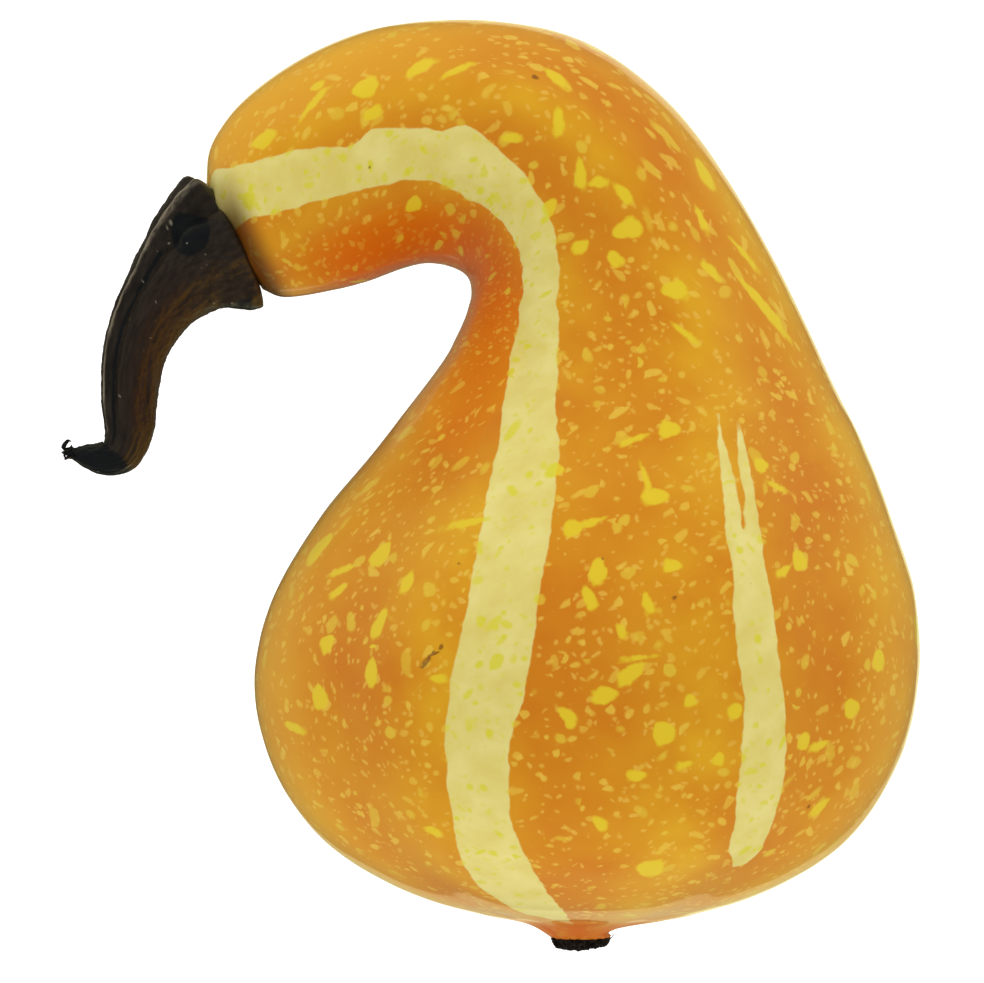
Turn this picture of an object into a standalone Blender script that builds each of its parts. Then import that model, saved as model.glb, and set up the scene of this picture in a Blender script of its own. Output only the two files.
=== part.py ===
"""A dried bottle gourd with a bent neck, lying on a level surface the way it comes to rest.

It has three pieces, each one closed solid: the fruit, whose bulb, neck and nub grew as one; the woody stem
that is broken off with it at the end of the neck; and the corky scar that the flower left on the nub.

The gourd is drawn standing on that scar, in millimetres: +z runs up through the bulb, the neck bends over
towards -x, and +y is the side that it later lies on. The empty "rest_pose" then lays it down and carries the
three pieces. The finished part is in metres, +Z up, with its lowest point on Z = 0 and its box centred.
"""

import math

import bpy
import numpy as np
from mathutils import Matrix, Vector

MM = 0.001  # metres in a millimetre
GAP = 0.3  # mm between two pieces that touch

# The fruit: slices across it from the nub to the stem end, all centred on the plane that the neck bends in.
# Each is (x, z, radius, lean, lobe) in mm and degrees: the slice's middle, its radius in the furrows, how
# far the centre line leans there from upright towards the stem, and how high the ribs stand.
FRUIT_SLICES = (
    (0.2, 2.0, 5.4, 0, 0.0),
    (0.8, 4.2, 9.4, 0, 0.2),
    (1.2, 6.9, 20.5, 0, 0.7),
    (1.2, 9.3, 29.2, 0, 1.1),
    (1.2, 13.2, 38.2, 0, 1.5),
    (1.2, 21.0, 49.8, 0, 1.9),
    (1.4, 36.5, 60.3, 0, 2.0),
    (1.8, 52.0, 64.0, 0, 1.9),
    (3.1, 67.5, 62.1, 0, 1.8),
    (5.2, 83.0, 55.5, 0, 1.6),
    (8.3, 98.6, 46.0, 0, 1.3),
    (10.5, 114.1, 36.5, 0, 0.9),
    (8.1, 124.0, 32.2, 10, 0.7),
    (3.7, 136.4, 28.3, 26.5, 0.5),
    (-2.1, 145.5, 27.0, 45.5, 0.4),
    (-10.3, 152.9, 25.8, 64.5, 0.4),
    (-19.8, 156.0, 24.4, 79.5, 0.4),
    (-28.9, 156.6, 23.5, 90, 0.4),
    (-43.5, 152.9, 23.5, 96.5, 0.4),
    (-54.3, 148.0, 21.3, 106.5, 0.4),
    (-61.3, 143.6, 18.4, 113, 0.4),
    (-65.0, 140.6, 15.5, 116, 0.3),
    (-66.9, 138.2, 11.6, 118, 0.2),
)
LOBES = 8  # ribs round the fruit
LOBE_AT = 20.0  # degrees round from the front to the top of one rib
RIB_FULLNESS = 2.6  # 2 makes ribs and furrows alike, and more makes round ribs with narrow furrows
STEPS_PER_LOBE = 8
FRUIT_RINGS = 52

# The stem: slices as the fruit's, from its flared foot to its torn tip, but with a mean radius. The last
# number is how far its ridges stand in and out, as a share of the radius.
STEM_SLICES = (
    (-67.4, 138.2, 10.6, 118, 0.03),
    (-69.0, 137.3, 13.4, 120, 0.10),
    (-70.8, 136.2, 12.9, 122.5, 0.10),
    (-74.2, 134.0, 11.2, 127, 0.09),
    (-78.2, 130.4, 9.0, 131, 0.08),
    (-82.5, 124.5, 7.2, 138, 0.07),
    (-85.4, 118.5, 6.3, 150, 0.07),
    (-86.9, 112.1, 5.7, 162, 0.07),
    (-87.3, 105.3, 5.2, 172, 0.07),
    (-87.4, 99.3, 4.5, 176, 0.05),
    (-89.4, 95.5, 3.8, 138, 0.03),
    (-92.5, 95.0, 3.2, 96, 0.0),
    (-95.4, 95.3, 2.4, 88, 0.0),
    (-98.0, 96.0, 1.2, 75, 0.0),
    (-99.4, 96.4, 0.6, 70, 0.0),
)
STEM_RIDGES = 5
STEM_RIDGE_AT = 60.0
STEPS_PER_STEM_RIDGE = 5
STEM_RINGS = 30

# The scar: a crumbly disc under the nub, with a rim that wavers a little.
SCAR_RADIUS = 5.1
SCAR_BOTTOM = -0.2
SCAR_TOP = FRUIT_SLICES[0][1] - GAP
SCAR_STEPS = 30
SCAR_WAVER = 0.25  # mm that the rim wanders in and out

# How it lies: on two ribs of the bulb and on the top of the neck's bend. REST_TILT is how far the neck
# dips below the level, REST_ROLL how far the gourd is turned about its own upright axis, in degrees. Where
# it lies, a little of the skin is flat.
REST_TILT = 22.3
REST_ROLL = 2.5
GROUND_SPOT = 0.6  # mm that the flat spots are pressed in

ORANGE = (0.65, 0.27, 0.02, 1.0)
STEM_BROWN = (0.035, 0.024, 0.012, 1.0)
SCAR_BLACK = (0.02, 0.015, 0.012, 1.0)


def smooth_slices(slices, count):
    """The given slices joined by a smooth curve and read at count even steps along it."""
    given = np.array(slices, float)
    steps = np.linalg.norm(np.diff(given[:, :3], axis=0), axis=1)
    place = np.concatenate(([0.0], np.cumsum(steps)))
    slope = np.empty_like(given)
    rise = np.diff(given, axis=0) / steps[:, None]
    slope[0] = rise[0]
    slope[-1] = rise[-1]
    before = steps[:-1, None]
    after = steps[1:, None]
    slope[1:-1] = (rise[:-1] * after + rise[1:] * before) / (before + after)
    wanted = np.linspace(0.0, place[-1], count)
    span = np.clip(np.searchsorted(place, wanted, side="right") - 1, 0, len(steps) - 1)
    width = steps[span][:, None]
    u = (wanted[:, None] - place[span][:, None]) / width
    start = (2 * u**3 - 3 * u**2 + 1) * given[span] + (u**3 - 2 * u**2 + u) * width * slope[span]
    end = (3 * u**2 - 2 * u**3) * given[span + 1] + (u**3 - u**2) * width * slope[span + 1]
    return start + end


def ring(x, z, lean, radii, angles):
    """Points round one slice: angle 0 faces the front, -y, and 90 degrees the side away from the stem."""
    lean = math.radians(lean)
    across = radii * np.sin(angles)
    return np.stack(
        (x + across * math.cos(lean), -radii * np.cos(angles), z + across * math.sin(lean)), axis=1
    )


def even_turns(steps):
    return np.arange(steps) * (2 * math.pi / steps)


def fruit_rings():
    turns = even_turns(LOBES * STEPS_PER_LOBE)
    angles = turns + math.radians(LOBE_AT)
    rib = 1 - np.abs(np.sin(LOBES / 2 * turns)) ** RIB_FULLNESS
    return [
        ring(x, z, lean, radius + lobe * rib, angles)
        for x, z, radius, lean, lobe in smooth_slices(FRUIT_SLICES, FRUIT_RINGS)
    ]


def stem_rings():
    turns = even_turns(STEM_RIDGES * STEPS_PER_STEM_RIDGE)
    angles = turns + math.radians(STEM_RIDGE_AT)
    ridge = np.cos(STEM_RIDGES * turns)
    return [
        ring(x, z, lean, radius * (1 + share * ridge), angles)
        for x, z, radius, lean, share in smooth_slices(STEM_SLICES, STEM_RINGS)
    ]


def scar_rings():
    angles = even_turns(SCAR_STEPS)
    waver = SCAR_WAVER * (np.sin(3 * angles) + np.sin(7 * angles + 1))
    middle = (SCAR_BOTTOM + SCAR_TOP) / 2
    shape = ((SCAR_BOTTOM, SCAR_RADIUS - 1.2), (middle, SCAR_RADIUS), (SCAR_TOP, SCAR_RADIUS - 0.4))
    return [ring(0.2, z, 0, radius + waver, angles) for z, radius in shape]


def rest_pose(clouds):
    """The placement that lays the gourd down: rolled, tipped over, then set on Z = 0 with its box centred."""
    turn = Matrix.Rotation(math.radians(-90 - REST_TILT), 4, "Y")
    upright = Matrix.Rotation(math.radians(REST_ROLL), 4, "Z")
    quarter = Matrix.Rotation(math.radians(90), 4, "Z")
    lay = turn @ quarter @ upright
    points = np.concatenate(clouds) @ np.array(lay.to_3x3()).T
    low = points.min(axis=0)
    high = points.max(axis=0)
    centre = (low + high) / 2
    move = Vector((-centre[0], -centre[1], -low[2] - GROUND_SPOT)) * MM
    return Matrix.Translation(move) @ lay


def flatten_below(points, pose):
    """The points, in mm, with those that the pose puts under Z = 0 brought up to it."""
    turn = np.array(pose.to_3x3())
    move = np.array(pose.translation) / MM
    placed = points @ turn.T + move
    placed[:, 2] = np.maximum(placed[:, 2], 0.0)
    return (placed - move) @ turn


def closed_mesh(name, rings, pose):
    """One closed surface over the rings, with a fan of triangles over each end."""
    around = len(rings[0])
    points = np.concatenate(rings + [rings[0].mean(axis=0)[None], rings[-1].mean(axis=0)[None]])
    first = len(rings) * around
    faces = []
    for row in range(len(rings) - 1):
        for a in range(around):
            b = (a + 1) % around
            low = row * around
            high = low + around
            faces.append((low + a, low + b, high + b, high + a))
    last_row = first - around
    for a in range(around):
        b = (a + 1) % around
        faces.append((first, b, a))
        faces.append((first + 1, last_row + a, last_row + b))
    mesh = bpy.data.meshes.new(name)
    mesh.from_pydata((flatten_below(points, pose) * MM).tolist(), [], faces)
    mesh.validate()
    mesh.shade_smooth()
    mesh.set_sharp_from_angle(angle=math.radians(50))
    return mesh


def material(name, colour, roughness, coat):
    made = bpy.data.materials.new(name)
    made.use_nodes = True
    shader = made.node_tree.nodes["Principled BSDF"]
    shader.inputs["Base Color"].default_value = colour
    shader.inputs["Roughness"].default_value = roughness
    shader.inputs["Metallic"].default_value = 0.0
    shader.inputs["Coat Weight"].default_value = coat
    return made


def add_piece(name, rings, finish, frame, pose):
    mesh = closed_mesh(name, rings, pose)
    mesh.materials.append(finish)
    piece = bpy.data.objects.new(name, mesh)
    bpy.context.scene.collection.objects.link(piece)
    piece.parent = frame


def main():
    for old in list(bpy.data.objects):
        bpy.data.objects.remove(old)
    rings = {"fruit": fruit_rings(), "stem": stem_rings(), "blossom_scar": scar_rings()}
    finishes = {
        "fruit": material("lacquered_skin", ORANGE, 0.35, 1.0),
        "stem": material("lacquered_stem", STEM_BROWN, 0.4, 0.8),
        "blossom_scar": material("corky_scar", SCAR_BLACK, 0.8, 0.0),
    }
    pose = rest_pose([np.concatenate(made) for made in rings.values()])
    frame = bpy.data.objects.new("rest_pose", None)
    frame.matrix_world = pose
    bpy.context.scene.collection.objects.link(frame)
    for name, made in rings.items():
        add_piece(name, made, finishes[name], frame, pose)


main()
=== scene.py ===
"""The finish of a dried bottle gourd with a bent neck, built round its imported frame.

Every piece is drawn as the gourd stands on its scar, in millimetres: +z runs up the bulb, the neck bends over
towards -x, the front is -y, and +y is the side that it lies on. It is then laid down in the frame, in metres.
"""

import math

import bpy
import numpy as np
from mathutils import Matrix, Vector


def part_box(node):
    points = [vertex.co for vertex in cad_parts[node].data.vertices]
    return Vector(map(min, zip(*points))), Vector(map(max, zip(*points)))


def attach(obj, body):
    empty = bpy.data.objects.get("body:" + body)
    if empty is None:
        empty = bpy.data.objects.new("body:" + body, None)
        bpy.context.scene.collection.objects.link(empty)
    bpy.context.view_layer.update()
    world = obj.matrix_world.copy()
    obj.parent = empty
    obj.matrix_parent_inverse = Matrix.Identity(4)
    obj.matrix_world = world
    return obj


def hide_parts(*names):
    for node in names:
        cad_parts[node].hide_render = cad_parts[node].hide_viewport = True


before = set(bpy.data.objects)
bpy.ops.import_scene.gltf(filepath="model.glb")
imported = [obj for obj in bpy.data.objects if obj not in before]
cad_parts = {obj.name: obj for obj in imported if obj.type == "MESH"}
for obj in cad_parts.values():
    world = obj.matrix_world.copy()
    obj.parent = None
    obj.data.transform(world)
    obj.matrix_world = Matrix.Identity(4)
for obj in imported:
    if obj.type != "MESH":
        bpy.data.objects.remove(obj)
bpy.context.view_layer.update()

# ---------------------------------------------------------------------------------------------------------
# The fruit. Bulb, neck and nub grew as one hollow woody rind with eight soft ribs, dried whole and lacquered.
# Its slices are joined to a smooth skin, and a node tree raises the ribs, the dents of a dried gourd and the
# puckers round the nub.

MM = 0.001  # metres in a millimetre

# Slices across the fruit: (x, z, radius in the furrows, lean of the centre line, height of the ribs).
FRUIT_SLICES = (
    (0.2, 2.0, 5.4, 0, 0.0),
    (0.8, 4.2, 9.4, 0, 0.2),
    (1.2, 6.9, 20.5, 0, 0.7),
    (1.2, 9.3, 29.2, 0, 1.1),
    (1.2, 13.2, 38.2, 0, 1.5),
    (1.2, 21.0, 49.8, 0, 1.9),
    (1.4, 36.5, 60.3, 0, 2.0),
    (1.8, 52.0, 64.0, 0, 1.9),
    (3.1, 67.5, 62.1, 0, 1.8),
    (5.2, 83.0, 55.5, 0, 1.6),
    (8.3, 98.6, 46.0, 0, 1.3),
    (10.5, 114.1, 36.5, 0, 0.9),
    (8.1, 124.0, 32.2, 10, 0.7),
    (3.7, 136.4, 28.3, 26.5, 0.5),
    (-2.1, 145.5, 27.0, 45.5, 0.4),
    (-10.3, 152.9, 25.8, 64.5, 0.4),
    (-19.8, 156.0, 24.4, 79.5, 0.4),
    (-28.9, 156.6, 23.5, 90, 0.4),
    (-43.5, 152.9, 23.5, 96.5, 0.4),
    (-54.3, 148.0, 21.3, 106.5, 0.4),
    (-61.3, 143.6, 18.4, 113, 0.4),
    (-65.0, 140.6, 15.5, 116, 0.3),
    (-66.9, 138.2, 11.6, 118, 0.2),
)
FRUIT_ROWS = 256
FRUIT_AROUND = 384
GROUND_SPOT = 0.6  # mm that the skin is pressed flat where it lies


def smooth_slices(slices, count):
    """The given slices joined by a smooth curve and read at count even steps along it."""
    given = np.array(slices, float)
    steps = np.linalg.norm(np.diff(given[:, :3], axis=0), axis=1)
    place = np.concatenate(([0.0], np.cumsum(steps)))
    rise = np.diff(given, axis=0) / steps[:, None]
    slope = np.concatenate((rise[:1], rise))
    before = steps[:-1, None]
    after = steps[1:, None]
    slope[1:-1] = (rise[:-1] * after + rise[1:] * before) / (before + after)
    wanted = np.linspace(0.0, place[-1], count)
    span = np.clip(np.searchsorted(place, wanted, side="right") - 1, 0, len(steps) - 1)
    width = steps[span][:, None]
    u = (wanted[:, None] - place[span][:, None]) / width
    start = (2 * u**3 - 3 * u**2 + 1) * given[span] + (u**3 - 2 * u**2 + u) * width * slope[span]
    end = (3 * u**2 - 2 * u**3) * given[span + 1] + (u**3 - u**2) * width * slope[span + 1]
    return start + end


def swept_skin(name, slices, rows, around, shape=None):
    """A closed skin over the slices, and for each of its points a table of where it grew.

    shape, where given, takes that table and returns how far each point stands out past its slice's radius.
    """
    rings = smooth_slices(slices, rows)
    steps = np.hypot(np.diff(rings[:, 0]), np.diff(rings[:, 1]))
    along = np.concatenate(([0.0], np.cumsum(steps)))
    turn = (np.arange(around) + 0.5) / around * 2 * math.pi - math.pi
    lean = np.radians(rings[:, 3])[:, None]
    grown = {
        "along": np.repeat(along, around),
        "turn": np.tile(turn, rows),
        "radius": np.repeat(rings[:, 2], around),
        "height": np.repeat(rings[:, 4], around),
    }
    out = np.stack(
        (
            (np.cos(lean) * np.sin(turn)).ravel(),
            np.broadcast_to(-np.cos(turn), (rows, around)).ravel(),
            (np.sin(lean) * np.sin(turn)).ravel(),
        ),
        axis=1,
    )
    middle = np.stack((rings[:, 0], np.zeros(rows), rings[:, 1]), axis=1)
    stands = grown["radius"] + (shape(grown) if shape else 0.0)
    points = np.repeat(middle, around, axis=0) + out * stands[:, None]
    points = np.concatenate((points, middle[:1], middle[-1:]))
    faces = []
    for row in range(rows - 1):
        for a in range(around):
            b = (a + 1) % around
            low = row * around
            faces.append((low + a, low + b, low + around + b, low + around + a))
    first = rows * around
    for a in range(around):
        b = (a + 1) % around
        faces.append((first, b, a))
        faces.append((first + 1, first - around + a, first - around + b))
    mesh = bpy.data.meshes.new(name)
    mesh.from_pydata(points.tolist(), [], faces)
    ends = {"along": (0.0, along[-1]), "turn": (0.0, 0.0), "radius": (0.0, 0.0), "height": (0.0, 0.0)}
    for key, values in grown.items():
        grown[key] = np.concatenate((values, ends[key]))
    grown["out"] = np.concatenate((out, np.zeros((2, 3))))
    sideways = grown["radius"] * np.sin(grown["turn"])
    forward = -grown["radius"] * np.cos(grown["turn"])
    grown["straight"] = np.stack((sideways, forward, grown["along"]), axis=1)
    return mesh, grown


def paint(mesh, name, values):
    """Keeps one number or one vector for each point of the mesh, for its node trees to read."""
    kind, field = ("FLOAT_VECTOR", "vector") if values.ndim == 2 else ("FLOAT", "value")
    layer = mesh.attributes.new(name, kind, "POINT")
    layer.data.foreach_set(field, np.ascontiguousarray(values, np.float32).ravel())


def add_node(tree, kind, links=None, **settings):
    """One node with its settings. links gives each input, by name or number, a value or what feeds it."""
    node = tree.nodes.new(kind)
    for name, value in settings.items():
        setattr(node, name, value)
    for socket, source in (links or {}).items():
        if isinstance(source, bpy.types.Node):
            source = source.outputs[0]
        if isinstance(source, bpy.types.NodeSocket):
            tree.links.new(source, node.inputs[socket])
        else:
            node.inputs[socket].default_value = source
    return node


def colour(code):
    """An sRGB hex value as the linear colour that a shader takes."""
    parts = [int(code[place : place + 2], 16) / 255 for place in (1, 3, 5)]
    return [part / 12.92 if part <= 0.04045 else ((part + 0.055) / 1.055) ** 2.4 for part in parts] + [1.0]


def new_tree(name, sizes):
    """An empty Geometry Nodes tree with an input for each of the sizes, and the nodes at its two ends."""
    tree = bpy.data.node_groups.new(name, "GeometryNodeTree")
    tree.interface.new_socket("Geometry", in_out="INPUT", socket_type="NodeSocketGeometry")
    tree.interface.new_socket("Geometry", in_out="OUTPUT", socket_type="NodeSocketGeometry")
    for label, value in sizes.items():
        kind = {int: "Int", float: "Float", tuple: "Vector"}.get(type(value), "Material")
        tree.interface.new_socket(label, in_out="INPUT", socket_type="NodeSocket" + kind)
    return tree, add_node(tree, "NodeGroupInput"), add_node(tree, "NodeGroupOutput")


def grow(name, mesh, tree, sizes):
    """The mesh that the tree makes of the given one at these sizes, as a new plain mesh."""
    base = bpy.data.objects.new(name + "_base", mesh)
    bpy.context.scene.collection.objects.link(base)
    modifier = base.modifiers.new("grow", "NODES")
    modifier.node_group = tree
    for item in tree.interface.items_tree:
        if item.in_out == "INPUT" and item.name in sizes:
            modifier[item.identifier] = sizes[item.name]
    bpy.context.view_layer.update()
    made = bpy.data.meshes.new_from_object(base.evaluated_get(bpy.context.evaluated_depsgraph_get()))
    made.name = name
    base.modifiers.remove(modifier)
    bpy.data.objects.remove(base)
    return made


# The nub is lopsided: (mm up from its end, mm that its side away from the stem stands out).
NUB_SIDE = ((0.4, 0.0), (1.1, -2.3), (1.9, -2.7), (2.7, -0.4), (3.4, 1.8), (4.3, 1.6), (5.1, 0.7), (6.5, 0.0))


def nub_relief(grown):
    """How far the far side of the nub stands out past the radius, in mm, or in where it is less than 0."""
    rows = np.array(NUB_SIDE)
    return np.interp(grown["along"], rows[:, 0], rows[:, 1]) * np.clip(np.sin(grown["turn"]), 0, 1) ** 2


fruit_base, fruit_grown = swept_skin("fruit_base", FRUIT_SLICES, FRUIT_ROWS, FRUIT_AROUND, nub_relief)
for name in ("straight", "out", "turn", "height", "along"):
    paint(fruit_base, name, fruit_grown[name])

rind_sizes = {
    "Ribs": 8,
    "First rib": math.radians(20),  # round from the front
    "Rib fullness": 2.6,  # 2 makes ribs and furrows alike, and more makes round ribs with narrow furrows
    "Swell": 1.6,  # this and the lengths below are in mm
    "Swell size": 38.0,
    "Dimple": 0.3,
    "Dimple size": 9.0,
    "Puckers": 17,
    "Pucker depth": 0.12,
    "Pucker reach": 16.0,
    "Pucker stray": 9.0,
    "Skin": None,
}
rind_tree, rind_in, rind_out = new_tree("ribbed_rind", rind_sizes)
straight = add_node(
    rind_tree, "GeometryNodeInputNamedAttribute", {"Name": "straight"}, data_type="FLOAT_VECTOR"
)
out_way = add_node(rind_tree, "GeometryNodeInputNamedAttribute", {"Name": "out"}, data_type="FLOAT_VECTOR")
turn_round, rib_height, length_up = (
    add_node(rind_tree, "GeometryNodeInputNamedAttribute", {"Name": name}, data_type="FLOAT")
    for name in ("turn", "height", "along")
)
from_rib = add_node(
    rind_tree, "ShaderNodeMath", {0: turn_round, 1: rind_in.outputs["First rib"]}, operation="SUBTRACT"
)
half_ribs = add_node(rind_tree, "ShaderNodeMath", {0: rind_in.outputs["Ribs"], 1: 0.5}, operation="MULTIPLY")
wave_turn = add_node(rind_tree, "ShaderNodeMath", {0: from_rib, 1: half_ribs}, operation="MULTIPLY")
wave = add_node(rind_tree, "ShaderNodeMath", {0: wave_turn}, operation="SINE")
wave_size = add_node(rind_tree, "ShaderNodeMath", {0: wave}, operation="ABSOLUTE")
furrow = add_node(
    rind_tree, "ShaderNodeMath", {0: wave_size, 1: rind_in.outputs["Rib fullness"]}, operation="POWER"
)
rib_rise = add_node(rind_tree, "ShaderNodeMath", {0: 1.0, 1: furrow}, operation="SUBTRACT")
stands_out = add_node(rind_tree, "ShaderNodeMath", {0: rib_rise, 1: rib_height}, operation="MULTIPLY")
swell = None
for height_name, size_name, detail in (("Swell", "Swell size", 1.0), ("Dimple", "Dimple size", 2.0)):
    scale = add_node(rind_tree, "ShaderNodeMath", {0: 1.0, 1: rind_in.outputs[size_name]}, operation="DIVIDE")
    bumps = add_node(rind_tree, "ShaderNodeTexNoise", {"Vector": straight, "Scale": scale, "Detail": detail})
    swell = swell or bumps
    even = add_node(rind_tree, "ShaderNodeMath", {0: bumps, 1: 0.5}, operation="SUBTRACT")
    stands_out = add_node(
        rind_tree,
        "ShaderNodeMath",
        {0: even, 1: rind_in.outputs[height_name], 2: stands_out},
        operation="MULTIPLY_ADD",
    )
pucker_turn = add_node(
    rind_tree, "ShaderNodeMath", {0: turn_round, 1: rind_in.outputs["Puckers"]}, operation="MULTIPLY"
)
pucker_stray = add_node(
    rind_tree,
    "ShaderNodeMath",
    {0: swell, 1: rind_in.outputs["Pucker stray"], 2: pucker_turn},
    operation="MULTIPLY_ADD",
)
pucker_wave = add_node(rind_tree, "ShaderNodeMath", {0: pucker_stray}, operation="SINE")
pucker_fade = add_node(
    rind_tree,
    "ShaderNodeMapRange",
    {
        "Value": length_up,
        1: 0.0,
        2: rind_in.outputs["Pucker reach"],
        3: rind_in.outputs["Pucker depth"],
        4: 0.0,
    },
    interpolation_type="SMOOTHSTEP",
)
pucker_out = add_node(
    rind_tree,
    "ShaderNodeMath",
    {0: pucker_wave, 1: pucker_fade.outputs["Result"], 2: stands_out},
    operation="MULTIPLY_ADD",
)
push = add_node(rind_tree, "ShaderNodeVectorMath", {0: out_way, "Scale": pucker_out}, operation="SCALE")
pushed = add_node(
    rind_tree, "GeometryNodeSetPosition", {"Geometry": rind_in.outputs["Geometry"], "Offset": push}
)
kept_furrow = add_node(
    rind_tree,
    "GeometryNodeStoreNamedAttribute",
    {"Geometry": pushed, "Name": "furrow", "Value": furrow},
    data_type="FLOAT",
    domain="POINT",
)
smooth = add_node(rind_tree, "GeometryNodeSetShadeSmooth", {"Geometry": kept_furrow})
real = add_node(rind_tree, "GeometryNodeRealizeInstances", {"Geometry": smooth})
skinned = add_node(
    rind_tree, "GeometryNodeSetMaterial", {"Geometry": real, "Material": rind_in.outputs["Skin"]}
)
rind_tree.links.new(skinned.outputs[0], rind_out.inputs[0])

# The pattern of the skin: cream stripes, each a list of (mm up from the nub, from degrees, to degrees round).
# The second one ends in a fork, whose other tine is a list of its own.
FRONT_STRIPE = (
    (3.5, -11, -10), (6, -27, -9), (12, -30, -12), (19, -28, -14), (27, -26, -15), (39, -25, -14),
    (48, -24, -11.5), (56, -23, -10.5), (64, -22.5, -10.5), (72, -23, -10.5), (81, -24.5, -11),
    (88, -26.5, -12.5), (97, -30, -15.5), (104, -35, -20), (113, -41, -24), (128, -38, -22),
    (138, -34, -17), (146, -32, -13), (156, -30, -8.5), (161, -29.5, -5.5), (165.5, -28.5, -0.5),
    (168.5, -27.5, 3.5), (170.5, -26, 5), (175, -22.5, 1.5), (179.5, -20, 3.5), (186, -19, 7.5),
    (189, -18.5, 8.5), (190.5, -18, 5.5), (193.5, -17, 4.5), (200.5, -14.5, 11), (206, -12, 17),
    (211, -9, 23), (215, -4.5, 32), (217.5, -1.5, 46), (221, 2, 60),
)
FORKED_STRIPE = (
    (16, 36, 40), (19, 31, 40.5), (21, 30, 40), (29, 27.5, 38), (39, 26, 36), (48, 25.5, 33.5),
    (56, 24, 32), (64, 23, 31), (72, 22.8, 29.8), (79, 22.3, 29.5), (79.5, 22.3, 25.9), (84, 22, 25.3),
    (90, 21.7, 24.6), (96, 21.2, 23.2), (102, 21.6, 21.6),
)
FORK_TINE = (
    (72, 26, 29.8), (79, 26.2, 29.5), (84, 26.7, 29.3), (90, 26.2, 29), (96, 26.2, 28.2), (102, 27.2, 27.2),
)
BACK_STRIPES = (
    ((9, 124, 127), (24, 120, 131), (50, 121, 130), (80, 120, 131), (108, 122, 132), (126, 127, 128)),
    ((6, -134, -122), (30, -133, -123), (60, -132, -124), (96, -135, -122), (118, -131, -129)),
)


def strip_distance(grown, strip):
    """How far each point is from the edge of one stripe, in mm, less than 0 inside it."""
    rows = np.array(strip, float)
    low = np.interp(grown["along"], rows[:, 0], rows[:, 1])
    high = np.interp(grown["along"], rows[:, 0], rows[:, 2])
    turn = np.degrees(grown["turn"])
    aside = np.maximum(low - turn, turn - high) * math.pi / 180 * np.maximum(grown["radius"], 4.0)
    past = np.maximum(rows[0, 0] - grown["along"], grown["along"] - rows[-1, 0])
    return np.maximum(aside, past)


strips = (FRONT_STRIPE, FORKED_STRIPE, FORK_TINE) + BACK_STRIPES
stripe_distance = np.min([strip_distance(fruit_grown, strip) for strip in strips], axis=0)
paint(fruit_base, "stripe", np.clip(stripe_distance, -6.0, 6.0))

# The larger drops of yellow on the front: (mm up from the nub, degrees round, half length in mm, half width
# in mm, degrees that the length leans from upright towards the right).
DROPS = (
    (86, 8, 2.5, 1.6, 90), (99, 10, 2.0, 1.6, 90), (80, -7, 1.8, 1.6, 90), (72, -1, 2.7, 1.6, -5),
    (67, -2, 2.5, 1.1, -30), (66, 8, 2.1, 1.0, -20), (73, 12, 1.7, 1.2, 90), (92, 32, 1.6, 1.3, 90),
    (91, -14, 1.6, 1.4, 90), (75, -46, 2.4, 2.2, 15), (48, -53, 2.4, 2.1, -15), (62, -40, 3.1, 1.5, 15),
    (53, -40, 2.7, 1.5, -5), (58, -52, 1.9, 1.7, 45), (76, -65, 3.4, 2.3, 40), (70, -36, 2.1, 1.2, 5),
    (136, 11, 2.8, 1.7, -85), (124, 18, 2.4, 1.6, -85), (148, 8, 2.7, 1.1, 45), (138, 58, 2.2, 1.7, 30),
    (141, 17, 2.1, 1.1, -10), (137, -8, 1.8, 1.4, 85), (132, 2, 1.7, 1.3, -20), (189, 29, 2.4, 2.2, 5),
    (188, 15, 1.7, 1.2, -5), (179, 34, 3.3, 1.3, -40), (159, 38, 2.5, 1.1, 35), (208, 30, 2.4, 1.6, 20),
    (148, -10, 1.6, 1.4, 85), (181, -32, 1.8, 1.6, -30), (53, 6, 2.9, 1.5, 50), (49, 2, 2.4, 1.6, 80),
    (45, -4, 2.3, 1.2, -45), (42, 12, 2.3, 2.0, -35), (34, 8, 1.8, 1.1, 85), (46, 24, 1.6, 1.4, 45),
    (37, 22, 1.3, 1.2, 0), (16, 14, 2.6, 1.6, -85), (74, 38, 2.0, 1.7, -15), (46, 50, 2.1, 1.8, -40),
    (40, 40, 1.8, 1.6, 15), (55, 56, 2.2, 1.8, 5), (60, 72, 3.2, 1.8, -15), (27, 50, 2.0, 1.2, 40),
    (162, 4, 2.1, 0.9, -20), (197, 42, 1.2, 1.0, 15), (25, 2, 1.6, 1.0, -50), (48, 16, 1.3, 1.0, -20),
    (214.5, 7, 1.7, 1.3, 60),
)
# The long thin ones, which are mostly tails that ran out of the drops.
TAILS = (
    (89, 6, 3.0, 0.5, -25), (97, 2, 3.0, 0.6, 70), (81, -4, 2.5, 0.7, 70), (88, 35, 2.3, 0.6, -65),
    (68, -53, 2.3, 0.9, 50), (81, -28, 4.4, 0.8, 80), (42, -61, 3.2, 0.9, -80), (126, 34, 2.2, 1.0, -50),
    (120, 51, 5.2, 1.2, -35), (127, 54, 3.0, 0.7, -35), (173, 32, 2.9, 0.7, -40), (198, 33, 3.3, 0.8, -40),
    (156, 19, 2.6, 0.9, 70), (72, 34, 2.0, 0.8, 65), (39, 44, 2.4, 0.9, 75), (23, -32, 2.2, 0.9, -75),
    (56, 7, 2.7, 0.4, 85), (117, 16, 2.2, 0.6, -45), (72, -54, 3.2, 0.7, 70), (145, 11, 1.8, 0.9, -60),
    (52, -26, 1.7, 0.8, -90), (36, 16, 1.6, 0.7, 85), (133, 42, 1.9, 0.9, 15), (61, 4, 1.6, 0.8, -35),
)
BACK_FROM = 75.0  # degrees round where the drops above end
BACK_DROPS = 90
BACK_TAILS = 60

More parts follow.
